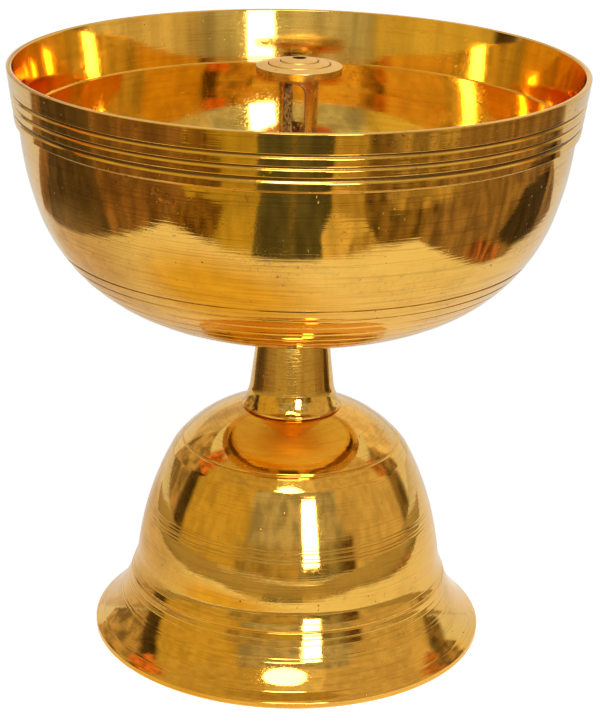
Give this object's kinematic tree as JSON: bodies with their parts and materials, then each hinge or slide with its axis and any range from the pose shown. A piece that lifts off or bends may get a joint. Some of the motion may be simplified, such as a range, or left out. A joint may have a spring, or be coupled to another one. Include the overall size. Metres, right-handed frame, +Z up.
{
  "type": "butter lamp",
  "caption": "Turned brass butter lamp: a wide grooved bowl on a bell-shaped foot, with a lift-out slotted wick holder.",
  "frame": {"origin": "centre of the flat ring that the foot stands on", "axes": "+Z up along the axis that every piece is turned about; the wick post's slot runs along Y"},
  "size_m": [0.2, 0.2, 0.2127],
  "materials": {
    "turned_brass": "polished on the lathe",
    "satin_brass": "fine turned satin",
    "cast_brass": "turned outside, as cast in the slot",
    "steel": "plain, slightly rusted",
    "fibre": "matt"
  },
  "bodies": {
    "lamp": {"bell_foot": "turned_brass", "neck": "turned_brass", "bowl": "turned_brass", "bowl_gasket": "fibre", "wick_socket": "turned_brass", "tie_rod": "steel", "foot_washer": "steel", "foot_nut": "steel"},
    "wick_holder": {"wick_post": "cast_brass", "wick_disc": "satin_brass"}
  },
  "joints": [
    {"name": "wick_holder_lift", "type": "slide", "parent": "lamp", "child": "wick_holder", "axis": [0, 0, 1], "range_m": [0, 0.085]}
  ]
}
